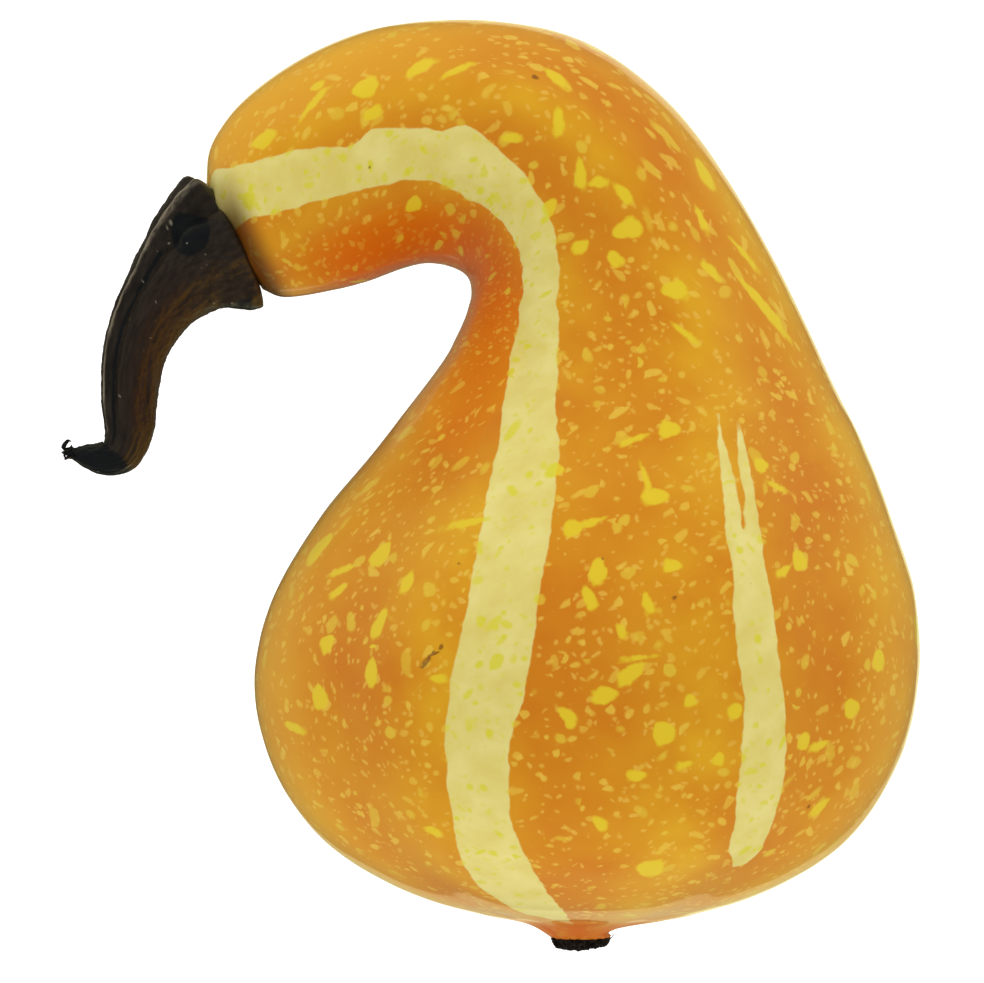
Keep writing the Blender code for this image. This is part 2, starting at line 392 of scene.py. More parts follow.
# Small brown scabs and dark specks, in the same form.
SCABS = (
    (57.8, -26, 0.6, 0.5, 0), (55.9, -28, 1.0, 0.5, 25), (54.4, -29, 0.6, 0.45, 25),
    (161.9, 34.5, 0.45, 0.3, 70), (67.2, 12.5, 0.3, 0.25, 60), (69.7, 26.5, 0.3, 0.25, 0),
    (73.4, -26.5, 0.25, 0.25, 0), (27.3, 47, 0.3, 0.25, 0), (189.4, -8.5, 0.3, 0.25, 0),
    (74.4, -0.5, 0.25, 0.2, 0),
)
SPREADS = 4  # the drops are shared out so that no two of one share touch
CLEAR = 2.4  # mm between two drops of one share


def turn_from(turn, degrees):
    """The angle from the given degrees round to each turn, in degrees, the short way."""
    return (np.degrees(turn) - degrees + 180) % 360 - 180


def drop_place(grown, drops):
    """Where each point is in the drop nearest to it, and how far it is from that drop's edge, in mm.

    The place is given as shares of the drop's half length and half width, with the half width in mm.
    """
    nearest = np.full(len(grown["along"]), np.inf)
    place = np.zeros((len(grown["along"]), 3))
    for up, around, half_length, half_width, tilt in drops:
        aside = np.radians(turn_from(grown["turn"], around)) * grown["radius"]
        rise = grown["along"] - up
        tilt = math.radians(tilt)
        length_share = (rise * math.cos(tilt) + aside * math.sin(tilt)) / half_length
        width_share = (aside * math.cos(tilt) - rise * math.sin(tilt)) / half_width
        away = (np.hypot(length_share, width_share) - 1) * half_width
        closer = away < nearest
        nearest[closer] = away[closer]
        place[closer, 0] = length_share[closer]
        place[closer, 1] = width_share[closer]
        place[closer, 2] = half_width
    return np.clip(place, -8.0, 8.0), np.clip(nearest, -3.0, 3.0)


def share_out(grown, drops, shares):
    """The drops in so many lists, with none closer than CLEAR to another of its list."""
    lists = [[] for _ in range(shares)]
    for drop in drops:
        radius = np.interp(drop[0], grown["along"][:-2:FRUIT_AROUND], grown["radius"][:-2:FRUIT_AROUND])
        for kept in lists:
            gaps = []
            for other in kept:
                round_by = math.radians((drop[1] - other[1] + 180) % 360 - 180) * radius
                gaps.append(math.hypot(drop[0] - other[0], round_by) - max(drop[2:4]) - max(other[2:4]))
            if min(gaps, default=CLEAR) >= CLEAR:
                kept.append(drop)
                break
    return lists


def chance_drops(chance, count, widths, stretches):
    """Drops strewn over the sides and the back, in the form of the lists above."""
    made = []
    for _ in range(count):
        half_width = chance.uniform(*widths)
        up = chance.uniform(14, 212)
        around = chance.uniform(BACK_FROM, 360 - BACK_FROM)
        half_length = half_width * chance.uniform(*stretches)
        made.append((up, around, half_length, half_width, chance.uniform(-90, 90)))
    return tuple(made)


chance = np.random.default_rng(7)
strewn = DROPS + TAILS
strewn += chance_drops(chance, BACK_DROPS, (0.8, 2.0), (1.1, 1.7))
strewn += chance_drops(chance, BACK_TAILS, (0.5, 0.9), (2.5, 4.5))
lists = share_out(fruit_grown, strewn, SPREADS)
names = ["drops_%d" % place for place in range(SPREADS)] + ["scabs"]
for name, kept in zip(names, lists + [SCABS]):
    in_drop, from_drop = drop_place(fruit_grown, kept)
    paint(fruit_base, name, in_drop)
    paint(fruit_base, name + "_gap", from_drop)


def eased_step(values, start, end):
    """0 before start, 1 after end, and a smooth rise between them."""
    share = np.clip((values - start) / (end - start), 0, 1)
    return share * share * (3 - 2 * share)


# The rind is a deeper orange inside the bend of the neck, partly its own tone and partly painted shade. The
# outside of the neck's end is painted paler as painted light, and the flanks of the bulb are painted paler
# too.
# The nub is browned, and by the stem lies a dark smudge, part stain and part painted shadow of the stem's
# foot.
up = fruit_grown["along"]
turn = fruit_grown["turn"]
bend = eased_step(up, 80, 150) * eased_step(-up, -215, -195)
# Deeper orange in the neck's bend: partly the rind's own tone, partly painted shade.
deep_tone_and_bend_shade = eased_step(-np.sin(turn), 0.25, 0.85) * bend
# Painted light: the outside of the neck's end is painted paler where light falls on the top of the bend.
outside = eased_step(np.sin(turn), -0.1, 0.9) * eased_step(up, 150, 195)
flank = eased_step(np.abs(np.sin(turn)), 0.72, 0.98) * (1 - eased_step(up, 95, 125))
browned = 0.75 * (1 - eased_step(up, 2.5, 6.0))
# Painted shadow with a stain: the dark smudge where the stem's foot meets the rind.
stain_and_stem_shadow = eased_step(up, 213.0, 218.5) * (1 - eased_step(np.abs(turn_from(turn, -45)), 45, 95))
masks = {"deep_tone_and_bend_shade": deep_tone_and_bend_shade, "painted_light_and_pale_flanks": np.maximum(outside, 0.8 * flank), "browned": browned, "stain_and_stem_shadow": stain_and_stem_shadow}
for name, values in masks.items():
    paint(fruit_base, name, values)

# Lacquered gourd rind: a woody skin with its colours grown into it, rubbed smooth and dipped in clear gloss
# lacquer. The eye sees soft, deep, mottled orange under a hard clear coat that mirrors only at the rims. The
# stripes and flecks lie in the rind and not on it, so they change its colour alone. Light and shade are
# painted
# into the colour as well: painted shade in the furrows and the neck's bend, painted light on the neck's top,
# and the stem's painted shadow by the stem.
rind_finish = bpy.data.materials.new("lacquered_gourd_rind")
rind_finish.use_nodes = True
tree = rind_finish.node_tree
shader = tree.nodes["Principled BSDF"]
place = add_node(tree, "ShaderNodeAttribute", attribute_name="straight").outputs["Vector"]
stripe, deep_tone_and_bend_shade, painted_light_and_pale_flanks, furrows, browned, stain_and_stem_shadow = (
    add_node(tree, "ShaderNodeAttribute", attribute_name=name).outputs["Fac"]
    for name in ("stripe", "deep_tone_and_bend_shade", "painted_light_and_pale_flanks", "furrow", "browned", "stain_and_stem_shadow")
)

STRAY = 0.45  # mm that the edges of the flecks wander
STRIPE_STRAY = 0.32  # mm that the edges of the stripes do
stray = add_node(tree, "ShaderNodeTexNoise", {"Vector": place, "Scale": 0.55, "Detail": 2.0})
stray_even = add_node(
    tree, "ShaderNodeVectorMath", {0: stray.outputs["Color"], 1: (0.5, 0.5, 0.5)}, operation="SUBTRACT"
)
strayed = add_node(
    tree,
    "ShaderNodeVectorMath",
    {0: stray_even, 1: (2 * STRAY, 2 * STRAY, 2 * STRAY), 2: place},
    operation="MULTIPLY_ADD",
)
edge_stray = add_node(
    tree, "ShaderNodeMapRange", {"Value": stray, 1: 0.3, 2: 0.7, 3: -STRAY / 2, 4: STRAY / 2}
).outputs["Result"]
slow_stray = add_node(tree, "ShaderNodeTexNoise", {"Vector": place, "Scale": 0.24, "Detail": 2.0})
stripe_stray = add_node(
    tree, "ShaderNodeMapRange", {"Value": slow_stray, 1: 0.3, 2: 0.7, 3: -STRIPE_STRAY, 4: STRIPE_STRAY}
).outputs["Result"]


def fleck_layer(tree, where, spacing, half_width, stretch, share, softness):
    """How much each point is covered, 0 to 1, by drops about spacing mm apart that point every way."""
    cells = add_node(tree, "ShaderNodeTexVoronoi", {"Vector": where, "Scale": 1 / spacing})
    middle = cells.outputs["Position"]
    offset = add_node(tree, "ShaderNodeVectorMath", {0: where, 1: middle}, operation="SUBTRACT")
    draw = add_node(tree, "ShaderNodeTexWhiteNoise", {"Vector": middle})
    centred = add_node(
        tree, "ShaderNodeVectorMath", {0: cells.outputs["Color"], 1: (0.5, 0.5, 0.5)}, operation="SUBTRACT"
    )
    way = add_node(tree, "ShaderNodeVectorMath", {0: centred}, operation="NORMALIZE")
    lengthwise = add_node(tree, "ShaderNodeVectorMath", {0: offset, 1: way}, operation="DOT_PRODUCT")
    length_part = lengthwise.outputs["Value"]
    long_square = add_node(tree, "ShaderNodeMath", {0: length_part, 1: length_part}, operation="MULTIPLY")
    square = add_node(tree, "ShaderNodeVectorMath", {0: offset, 1: offset}, operation="DOT_PRODUCT")
    eased = add_node(
        tree,
        "ShaderNodeMath",
        {0: long_square, 1: 1 / stretch**2 - 1, 2: square.outputs["Value"]},
        operation="MULTIPLY_ADD",
    )
    reach = add_node(tree, "ShaderNodeMath", {0: eased}, operation="SQRT")
    parts = add_node(tree, "ShaderNodeSeparateColor", {"Color": draw.outputs["Color"]})
    size = add_node(
        tree, "ShaderNodeMapRange", {"Value": parts.outputs["Red"], 3: half_width * 0.45, 4: half_width}
    )
    taper = add_node(
        tree, "ShaderNodeMath", {0: length_part, 1: 0.22, 2: size.outputs["Result"]}, operation="MULTIPLY_ADD"
    )
    inside = add_node(tree, "ShaderNodeMath", {0: taper, 1: reach}, operation="SUBTRACT")
    cover = add_node(
        tree,
        "ShaderNodeMapRange",
        {"Value": inside, 1: -softness, 2: softness},
        interpolation_type="SMOOTHSTEP",
    )
    chosen = add_node(tree, "ShaderNodeMath", {0: parts.outputs["Green"], 1: share}, operation="LESS_THAN")
    strength = add_node(tree, "ShaderNodeMapRange", {"Value": parts.outputs["Blue"], 3: 0.65, 4: 1.0})
    shown = add_node(tree, "ShaderNodeMath", {0: cover.outputs["Result"], 1: chosen}, operation="MULTIPLY")
    seen = add_node(tree, "ShaderNodeMath", {0: shown, 1: strength.outputs["Result"]}, operation="MULTIPLY")
    return seen.outputs[0]


def drop_cover(tree, name, pointed, softness):
    """How much each point is covered, 0 to 1, by the drop that its place is measured in."""
    in_drop = add_node(tree, "ShaderNodeAttribute", attribute_name=name).outputs["Vector"]
    from_drop = add_node(tree, "ShaderNodeAttribute", attribute_name=name + "_gap").outputs["Fac"]
    parts = add_node(tree, "ShaderNodeSeparateXYZ", {0: in_drop})
    slant = add_node(
        tree, "ShaderNodeMath", {0: parts.outputs["X"], 1: pointed, 2: 1.0}, operation="MULTIPLY_ADD"
    )
    aside = add_node(tree, "ShaderNodeMath", {0: parts.outputs["Y"], 1: slant}, operation="MULTIPLY")
    pair = add_node(tree, "ShaderNodeCombineXYZ", {0: parts.outputs["X"], 1: aside})
    reach = add_node(tree, "ShaderNodeVectorMath", {0: pair}, operation="LENGTH")
    short = add_node(tree, "ShaderNodeMath", {0: 1.0, 1: reach.outputs["Value"]}, operation="SUBTRACT")
    inside = add_node(
        tree, "ShaderNodeMath", {0: short, 1: parts.outputs["Z"], 2: edge_stray}, operation="MULTIPLY_ADD"
    )
    cover = add_node(
        tree,
        "ShaderNodeMapRange",
        {"Value": inside, 1: -softness, 2: softness},
        interpolation_type="SMOOTHSTEP",
    )
    near = add_node(tree, "ShaderNodeMath", {0: from_drop, 1: 0.8}, operation="LESS_THAN")
    shown = add_node(tree, "ShaderNodeMath", {0: cover.outputs["Result"], 1: near}, operation="MULTIPLY")
    return shown.outputs[0]


# Three sizes of small flecks: (mm apart, half width in mm, length over width, share of the places filled,
# softness of the edge in mm). The finer two crowd together in places.
crowd = add_node(tree, "ShaderNodeTexNoise", {"Vector": place, "Scale": 0.03, "Detail": 1.0})
crowding = add_node(tree, "ShaderNodeMapRange", {"Value": crowd, 1: 0.35, 2: 0.6, 3: 0.65, 4: 1.0})
fine, small, middling = (
    fleck_layer(tree, strayed.outputs[0], *sizes)
    for sizes in (
        (2.1, 0.43, 2.3, crowding.outputs["Result"], 0.15),
        (3.3, 0.72, 2.7, crowding.outputs["Result"], 0.2),
        (6.2, 1.15, 2.1, 0.65, 0.24),
    )
)
splash_cover = 0.0
for name in names[:SPREADS]:
    cover = drop_cover(tree, name, 0.3, 0.3)
    splash_cover = add_node(tree, "ShaderNodeMath", {0: splash_cover, 1: cover}, operation="MAXIMUM")
scab_cover = drop_cover(tree, "scabs", 0.2, 0.2)

tone = add_node(
    tree, "ShaderNodeTexNoise", {"Vector": place, "Scale": 0.045, "Detail": 3.0, "Roughness": 0.55}
)
orange = add_node(tree, "ShaderNodeValToRGB", {"Fac": tone})
cream_tone = add_node(tree, "ShaderNodeTexNoise", {"Vector": place, "Scale": 0.16, "Detail": 3.0})
plain_cream = add_node(tree, "ShaderNodeValToRGB", {"Fac": cream_tone})
for ramp, stops in (
    (orange, ((0.32, "#cf8009"), (0.66, "#dba416"))),
    (plain_cream, ((0.3, "#dac768"), (0.68, "#e2d582"))),
):
    for element, (position, code) in zip(ramp.color_ramp.elements, stops):
        element.position = position
        element.color = colour(code)
furrow_shade = add_node(tree, "ShaderNodeMath", {0: furrows, 1: 0.55}, operation="POWER")
outside_bend = add_node(tree, "ShaderNodeMapRange", {"Value": deep_tone_and_bend_shade, 3: 0.8, 4: 0.3})

# What lies over the orange, from the lowest up: (where it is, the most of it that shows, its colour). The
# first three are painted shade in the furrows, painted light on the neck's top with paler flanks, and painted
# shade with the deeper tone in the neck's bend.
skin = orange
for cover, most, code in (
    (furrow_shade, 0.5, "#cb6c05"),
    (painted_light_and_pale_flanks, 0.7, "#e2aa20"),
    (deep_tone_and_bend_shade, 1.0, "#d96804"),
    (fine, outside_bend.outputs["Result"], "#e2b142"),
    (small, outside_bend.outputs["Result"], "#e3bb3e"),
    (middling, 0.85, "#ddb932"),
    (splash_cover, 0.95, "#e0c224"),
):
    shown = add_node(tree, "ShaderNodeMath", {0: cover, 1: most}, operation="MULTIPLY")
    skin = add_node(tree, "ShaderNodeMix", {0: shown, 6: skin, 7: colour(code)}, data_type="RGBA").outputs[2]

# The stripes hide all that, but the flecks go on over them, fainter and greener.
stripe_edge = add_node(tree, "ShaderNodeMath", {0: stripe, 1: stripe_stray}, operation="ADD")
stripe_cover = add_node(
    tree, "ShaderNodeMapRange", {"Value": stripe_edge, 1: 0.2, 2: -0.2}, interpolation_type="SMOOTHSTEP"
)
any_fleck = splash_cover
for cover in (middling, small):
    any_fleck = add_node(tree, "ShaderNodeMath", {0: any_fleck, 1: cover}, operation="MAXIMUM")
with_fine = add_node(
    tree, "ShaderNodeMath", {0: fine, 1: 0.6, 2: any_fleck}, operation="MULTIPLY_ADD", use_clamp=True
)
on_cream = add_node(tree, "ShaderNodeMath", {0: with_fine, 1: 0.9}, operation="MULTIPLY")
cream = add_node(
    tree, "ShaderNodeMix", {0: on_cream, 6: plain_cream, 7: colour("#d6cc2c")}, data_type="RGBA"
)
skin = add_node(
    tree,
    "ShaderNodeMix",
    {0: stripe_cover.outputs["Result"], 6: skin, 7: cream.outputs[2]},
    data_type="RGBA",
).outputs[2]
# Over the stripes: the browned nub, the dark smudge by the stem (part stain, part painted shadow), and the
# scabs.
for cover, most, code in (
    (browned, 1.0, "#b54a0a"),
    (stain_and_stem_shadow, 0.85, "#4a2204"),
    (scab_cover, 0.7, "#6a3208"),
):
    shown = add_node(tree, "ShaderNodeMath", {0: cover, 1: most}, operation="MULTIPLY")
    skin = add_node(tree, "ShaderNodeMix", {0: shown, 6: skin, 7: colour(code)}, data_type="RGBA").outputs[2]
tree.links.new(skin, shader.inputs["Base Color"])
shader.inputs["Roughness"].default_value = 0.5
shader.inputs["Specular IOR Level"].default_value = 0.15
# The lacquer thins out over the browned nub.
coat = add_node(
    tree, "ShaderNodeMath", {0: browned, 1: -1.1, 2: 1.0}, operation="MULTIPLY_ADD", use_clamp=True
)
tree.links.new(coat.outputs[0], shader.inputs["Coat Weight"])
shader.inputs["Coat Roughness"].default_value = 0.06

rind_sizes["Skin"] = rind_finish
rind = grow("fruit_rind", fruit_base, rind_tree, rind_sizes)

REST_TILT = 22.3  # degrees that the neck dips below the level
REST_ROLL = 2.5  # degrees that the gourd is turned about its own upright axis
turn_down = Matrix.Rotation(math.radians(-90 - REST_TILT), 3, "Y")
turn_side = Matrix.Rotation(math.radians(90), 3, "Z")
turn_roll = Matrix.Rotation(math.radians(REST_ROLL), 3, "Z")
lay = np.array(turn_down @ turn_side @ turn_roll)


def mesh_points(mesh):
    """The places of the mesh's points, one row each."""
    flat = np.empty(len(mesh.vertices) * 3)
    mesh.vertices.foreach_get("co", flat)
    return flat.reshape(-1, 3)


fruit_low, fruit_high = (np.array(corner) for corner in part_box("fruit"))
turned = mesh_points(rind) @ lay.T * MM
rest_move = (fruit_low + fruit_high) / 2 - (turned.min(axis=0) + turned.max(axis=0)) / 2
rest_move[2] = -turned[:, 2].min() - GROUND_SPOT * MM


def lay_down(name, mesh):
    """The mesh laid down in the frame, in metres, pressed flat on the ground, as a piece of the gourd."""
    points = mesh_points(mesh) @ lay.T * MM + rest_move
    points[:, 2] = np.maximum(points[:, 2], 0.0)
    mesh.vertices.foreach_set("co", points.ravel())
    mesh.update()
    piece = bpy.data.objects.new(name, mesh)
    bpy.context.scene.collection.objects.link(piece)
    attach(piece, "root")
    return piece


fruit = lay_down("fruit_rind", rind)
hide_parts("fruit")

# ---------------------------------------------------------------------------------------------------------
# The stem: a dried woody stalk with ridges and grooves, still grown on at the end of the neck. Its foot
# flares over the fruit, and its tip curls into a hook and is torn off.

STEM_SLICES = (
    (-67.4, 138.2, 10.6, 118, 0.03),
    (-69.0, 137.3, 13.4, 120, 0.10),
    (-70.8, 136.2, 12.9, 122.5, 0.10),
    (-74.2, 134.0, 11.2, 127, 0.09),
    (-78.2, 130.4, 9.0, 131, 0.08),
    (-82.5, 124.5, 7.2, 138, 0.07),
    (-85.4, 118.5, 6.3, 150, 0.07),
    (-86.9, 112.1, 5.7, 162, 0.07),
    (-87.3, 105.3, 5.2, 172, 0.07),
    (-87.4, 99.3, 4.5, 176, 0.05),
    (-89.4, 95.5, 3.8, 138, 0.03),
    (-92.5, 95.0, 3.2, 96, 0.0),
    (-95.4, 95.3, 2.4, 88, 0.0),
    (-98.0, 96.0, 1.2, 75, 0.0),
    (-99.4, 96.4, 0.6, 70, 0.0),
)
STEM_ROWS = 300
STEM_AROUND = 180
# Round the stem, its ridges and the grooves between them: (degrees round, height as a share of the share that
# the slice gives, half breadth in degrees). The ridge at 49 degrees is the sharp one.
STEM_RIDGES = (
    (49, 2.3, 7),
    (30, -1.6, 9),
    (0, 0.7, 26),
    (-38, -0.6, 14),
    (-76, 0.9, 22),
    (-118, -0.8, 16),
    (-152, 0.9, 20),
    (172, -0.8, 16),
    (135, 0.9, 18),
    (91, 0.7, 14),
    (70, -1.3, 9),
)
RIDGE_TWIST = 0.1  # degrees that the ridges wind round for each mm
STEM_HUG = 2.2  # mm that the front of the foot reaches over the fruit
# The knot by the foot and the foot's thick lip: mm along, degrees round, half length, half width, height.
KNOT = (7.2, 22, 2.7, 4.0, 1.5)
LIP = (5.0, -86, 5.0, 8.0, 1.0)


def stem_relief(grown):
    """How far the stem's ridges and knot stand out past its radius, in mm, and its grooves stand in."""
    relief = np.zeros(len(grown["along"]))
    for degrees, share, breadth in STEM_RIDGES:
        off = turn_from(grown["turn"], degrees + RIDGE_TWIST * grown["along"])
        relief += share * grown["height"] * grown["radius"] * np.exp(-((off / breadth) ** 2))
    for up, degrees, half_length, half_width, high in (KNOT, LIP):
        aside = np.radians(turn_from(grown["turn"], degrees)) * grown["radius"]
        share = np.hypot((grown["along"] - up) / half_length, aside / half_width)
        relief += high * np.clip(1 - share**2, 0, 1)
    return relief


def move_points(mesh, shift):
    """Moves each point of the mesh by its own shift."""
    points = mesh_points(mesh) + shift
    mesh.vertices.foreach_set("co", points.ravel())
    mesh.update()


stem_base, stem_grown = swept_skin("stem_base", STEM_SLICES, STEM_ROWS, STEM_AROUND, stem_relief)
foot_way = np.array((math.sin(math.radians(120)), 0.0, -math.cos(math.radians(120))))
up = stem_grown["along"]
turn = stem_grown["turn"]
front = np.cos(turn)
hug = np.where(front > 0, STEM_HUG * front, -STEM_HUG / 2 * front) * (1 - eased_step(up, 1.5, 14))
move_points(stem_base, hug[:, None] * foot_way)


def stem_line(degrees, breadth, twist):
    """1 on a line up the stem, falling softly to 0 over about breadth degrees on both sides of it."""
    return np.exp(-((turn_from(turn, degrees + twist * up) / breadth) ** 2))


# Where the stem is worn on its sharp ridge, with a painted sheen there, ruddy, sooty (on the knot, at the
# foot's far corner and at the tip), darkened by painted shade in the two deep grooves, and torn.
tip = up.max()
# The sharp ridge: part wear and part painted sheen.
ridge_wear_and_sheen = stem_line(50, 5.0, RIDGE_TWIST) * (1 - eased_step(up, 40, 52))
ruddy = stem_line(-20, 30.0, 0.0) * eased_step(up, 8, 18) * (1 - eased_step(up, 44, 52))
beside_knot = np.radians(turn_from(turn, KNOT[1])) * stem_grown["radius"]
in_knot = np.hypot((up - KNOT[0]) / (KNOT[2] + 1), beside_knot / (KNOT[3] + 1))
knot_edge = np.exp(-(((in_knot - 1.1) / 0.35) ** 2)) * eased_step(up, 6, 9)
corner = np.hypot((up - 3) / 11, turn_from(turn, -96) / 42)
# Painted shade in the two deep grooves, kept in the same mask as the soot.
groove_shade = stem_line(33, 4.0, RIDGE_TWIST) * eased_step(up, 9, 15)
groove_shade = np.maximum(groove_shade, stem_line(70, 7.0, RIDGE_TWIST))
soot_and_groove_shade = np.maximum(1 - eased_step(in_knot, 0.6, 1.1), 1 - eased_step(corner, 0.5, 1.1))
soot_and_groove_shade = np.maximum(soot_and_groove_shade, 0.8 * groove_shade * (1 - eased_step(up, 46, 54)))
soot_and_groove_shade = np.maximum(soot_and_groove_shade, eased_step(up, tip - 13, tip - 7))
torn = eased_step(up, tip - 2.6, tip - 0.6)
masks = {"ridge_wear_and_sheen": ridge_wear_and_sheen, "soot_and_groove_shade": soot_and_groove_shade, "ruddy": ruddy, "torn": torn, "knot_edge": knot_edge}
for name, values in masks.items():
    paint(stem_base, name, values)
for name in ("straight", "out"):
    paint(stem_base, name, stem_grown[name])

stalk_sizes = {
    "Wrinkle": 1.0,  # lengths are in mm
    "Wrinkle width": 1.6,
    "Wrinkle length": 11.0,
    "Pitting": 0.5,
    "Pit size": 1.4,
    "Fibres per mm2": 2.6,
    "Fibre length": 1.7,
    "Fibre width": 0.3,
    "Fibre way": (-0.94, 0.0, 0.34),
    "Fibre stray": 0.75,
    "Fibre curl": 1.6,
    "Seed": 5,
    "Skin": None,
}
stalk_tree, stalk_in, stalk_out = new_tree("wrinkled_stalk", stalk_sizes)
straight, out_way = (
    add_node(stalk_tree, "GeometryNodeInputNamedAttribute", {"Name": name}, data_type="FLOAT_VECTOR")
    for name in ("straight", "out")
)
torn_part = add_node(stalk_tree, "GeometryNodeInputNamedAttribute", {"Name": "torn"}, data_type="FLOAT")
grain_size = add_node(
    stalk_tree,
    "ShaderNodeCombineXYZ",
    {
        0: stalk_in.outputs["Wrinkle width"],
        1: stalk_in.outputs["Wrinkle width"],
        2: stalk_in.outputs["Wrinkle length"],
    },
)
in_grain = add_node(stalk_tree, "ShaderNodeVectorMath", {0: straight, 1: grain_size}, operation="DIVIDE")
wrinkles = add_node(
    stalk_tree, "ShaderNodeTexNoise", {"Vector": in_grain, "Scale": 1.0, "Detail": 3.0, "Roughness": 0.6}
)
wrinkle_even = add_node(stalk_tree, "ShaderNodeMath", {0: wrinkles, 1: 0.5}, operation="SUBTRACT")
wrinkle_out = add_node(
    stalk_tree, "ShaderNodeMath", {0: wrinkle_even, 1: stalk_in.outputs["Wrinkle"]}, operation="MULTIPLY"
)
pit_scale = add_node(
    stalk_tree, "ShaderNodeMath", {0: 1.0, 1: stalk_in.outputs["Pit size"]}, operation="DIVIDE"
)
pits = add_node(
    stalk_tree,
    "ShaderNodeTexNoise",
    {"Vector": straight, "Scale": pit_scale, "Detail": 3.0, "Roughness": 0.65},
)
pit_even = add_node(stalk_tree, "ShaderNodeMath", {0: pits, 1: 0.5}, operation="SUBTRACT")
pit_out = add_node(
    stalk_tree,
    "ShaderNodeMath",
    {0: pit_even, 1: stalk_in.outputs["Pitting"], 2: wrinkle_out},
    operation="MULTIPLY_ADD",
)
push = add_node(stalk_tree, "ShaderNodeVectorMath", {0: out_way, "Scale": pit_out}, operation="SCALE")
pushed = add_node(
    stalk_tree, "GeometryNodeSetPosition", {"Geometry": stalk_in.outputs["Geometry"], "Offset": push}
)
stalk_smooth = add_node(stalk_tree, "GeometryNodeSetShadeSmooth", {"Geometry": pushed})
density = add_node(
    stalk_tree, "ShaderNodeMath", {0: torn_part, 1: stalk_in.outputs["Fibres per mm2"]}, operation="MULTIPLY"
)
roots = add_node(
    stalk_tree,
    "GeometryNodeDistributePointsOnFaces",
    {"Mesh": pushed, "Density": density, "Seed": stalk_in.outputs["Seed"]},
)
fibre = add_node(
    stalk_tree,
    "GeometryNodeMeshCone",
    {"Vertices": 6, "Side Segments": 4, "Radius Top": 0.15, "Radius Bottom": 1.0, "Depth": 1.0},
)
stray = add_node(
    stalk_tree,
    "FunctionNodeRandomValue",
    {0: (-1.0, -1.0, -1.0), 1: (1.0, 1.0, 1.0), "Seed": stalk_in.outputs["Seed"]},
    data_type="FLOAT_VECTOR",
)
way = add_node(
    stalk_tree,
    "ShaderNodeVectorMath",
    {0: stray, 1: stalk_in.outputs["Fibre stray"], 2: stalk_in.outputs["Fibre way"]},
    operation="MULTIPLY_ADD",
)
turned = add_node(stalk_tree, "FunctionNodeAlignRotationToVector", {"Vector": way}, axis="Z")
long_by = add_node(
    stalk_tree,
    "FunctionNodeRandomValue",
    {2: 0.35, 3: 1.0, "Seed": stalk_in.outputs["Seed"]},
    data_type="FLOAT",
)
fibre_long = add_node(
    stalk_tree,
    "ShaderNodeMath",
    {0: long_by.outputs[1], 1: stalk_in.outputs["Fibre length"]},
    operation="MULTIPLY",
)
fibre_size = add_node(
    stalk_tree,
    "ShaderNodeCombineXYZ",
    {0: stalk_in.outputs["Fibre width"], 1: stalk_in.outputs["Fibre width"], 2: fibre_long},
)
fibres = add_node(
    stalk_tree,
    "GeometryNodeInstanceOnPoints",
    {"Points": roots, "Instance": fibre, "Rotation": turned, "Scale": fibre_size},
)
fibres_real = add_node(stalk_tree, "GeometryNodeRealizeInstances", {"Geometry": fibres})
curl_by = add_node(stalk_tree, "ShaderNodeTexNoise", {"Scale": 0.9, "Detail": 0.0})
curl_even = add_node(
    stalk_tree,
    "ShaderNodeVectorMath",
    {0: curl_by.outputs["Color"], 1: (0.5, 0.5, 0.5)},
    operation="SUBTRACT",
)
curl = add_node(
    stalk_tree,
    "ShaderNodeVectorMath",
    {0: curl_even, "Scale": stalk_in.outputs["Fibre curl"]},
    operation="SCALE",
)
fibres_curled = add_node(stalk_tree, "GeometryNodeSetPosition", {"Geometry": fibres_real, "Offset": curl})
whole = add_node(stalk_tree, "GeometryNodeJoinGeometry", {0: stalk_smooth})
stalk_tree.links.new(fibres_curled.outputs[0], whole.inputs[0])
real = add_node(stalk_tree, "GeometryNodeRealizeInstances", {"Geometry": whole})
skinned = add_node(
    stalk_tree, "GeometryNodeSetMaterial", {"Geometry": real, "Material": stalk_in.outputs["Skin"]}
)
stalk_tree.links.new(skinned.outputs[0], stalk_out.inputs[0])

# Lacquered dry stalk: dark brown wood fibres, rubbed pale on the sharp ridge with a painted sheen over the
# wear, darkened by painted shade in the grooves, sooty on the knot, the foot's corner and the tip, and with
# small painted glints near the knot. The lacquer on it is thin and uneven, so the eye sees a dull, broken
# sheen, smoother where it is sooty and in the grooves.
stem_finish = bpy.data.materials.new("lacquered_dry_stalk")
stem_finish.use_nodes = True
tree = stem_finish.node_tree
shader = tree.nodes["Principled BSDF"]
place = add_node(tree, "ShaderNodeAttribute", attribute_name="straight").outputs["Vector"]
wear_and_sheen_part, soot_and_shade_part, ruddy_part, knot_rim = (
    add_node(tree, "ShaderNodeAttribute", attribute_name=name).outputs["Fac"]
    for name in ("ridge_wear_and_sheen", "soot_and_groove_shade", "ruddy", "knot_edge")
)
grain_place = add_node(tree, "ShaderNodeVectorMath", {0: place, 1: (1.4, 1.4, 0.16)}, operation="MULTIPLY")
grain = add_node(
    tree, "ShaderNodeTexNoise", {"Vector": grain_place, "Scale": 1.0, "Detail": 4.0, "Roughness": 0.5}
)
blotch = add_node(tree, "ShaderNodeTexNoise", {"Vector": place, "Scale": 0.35, "Detail": 3.0})
bark = add_node(tree, "ShaderNodeValToRGB", {"Fac": grain})
for element, (position, code) in zip(bark.color_ramp.elements, ((0.35, "#231b11"), (0.68, "#34281a"))):
    element.position = position
    element.color = colour(code)
ruddy_on = add_node(tree, "ShaderNodeMath", {0: ruddy_part, 1: blotch}, operation="MULTIPLY")
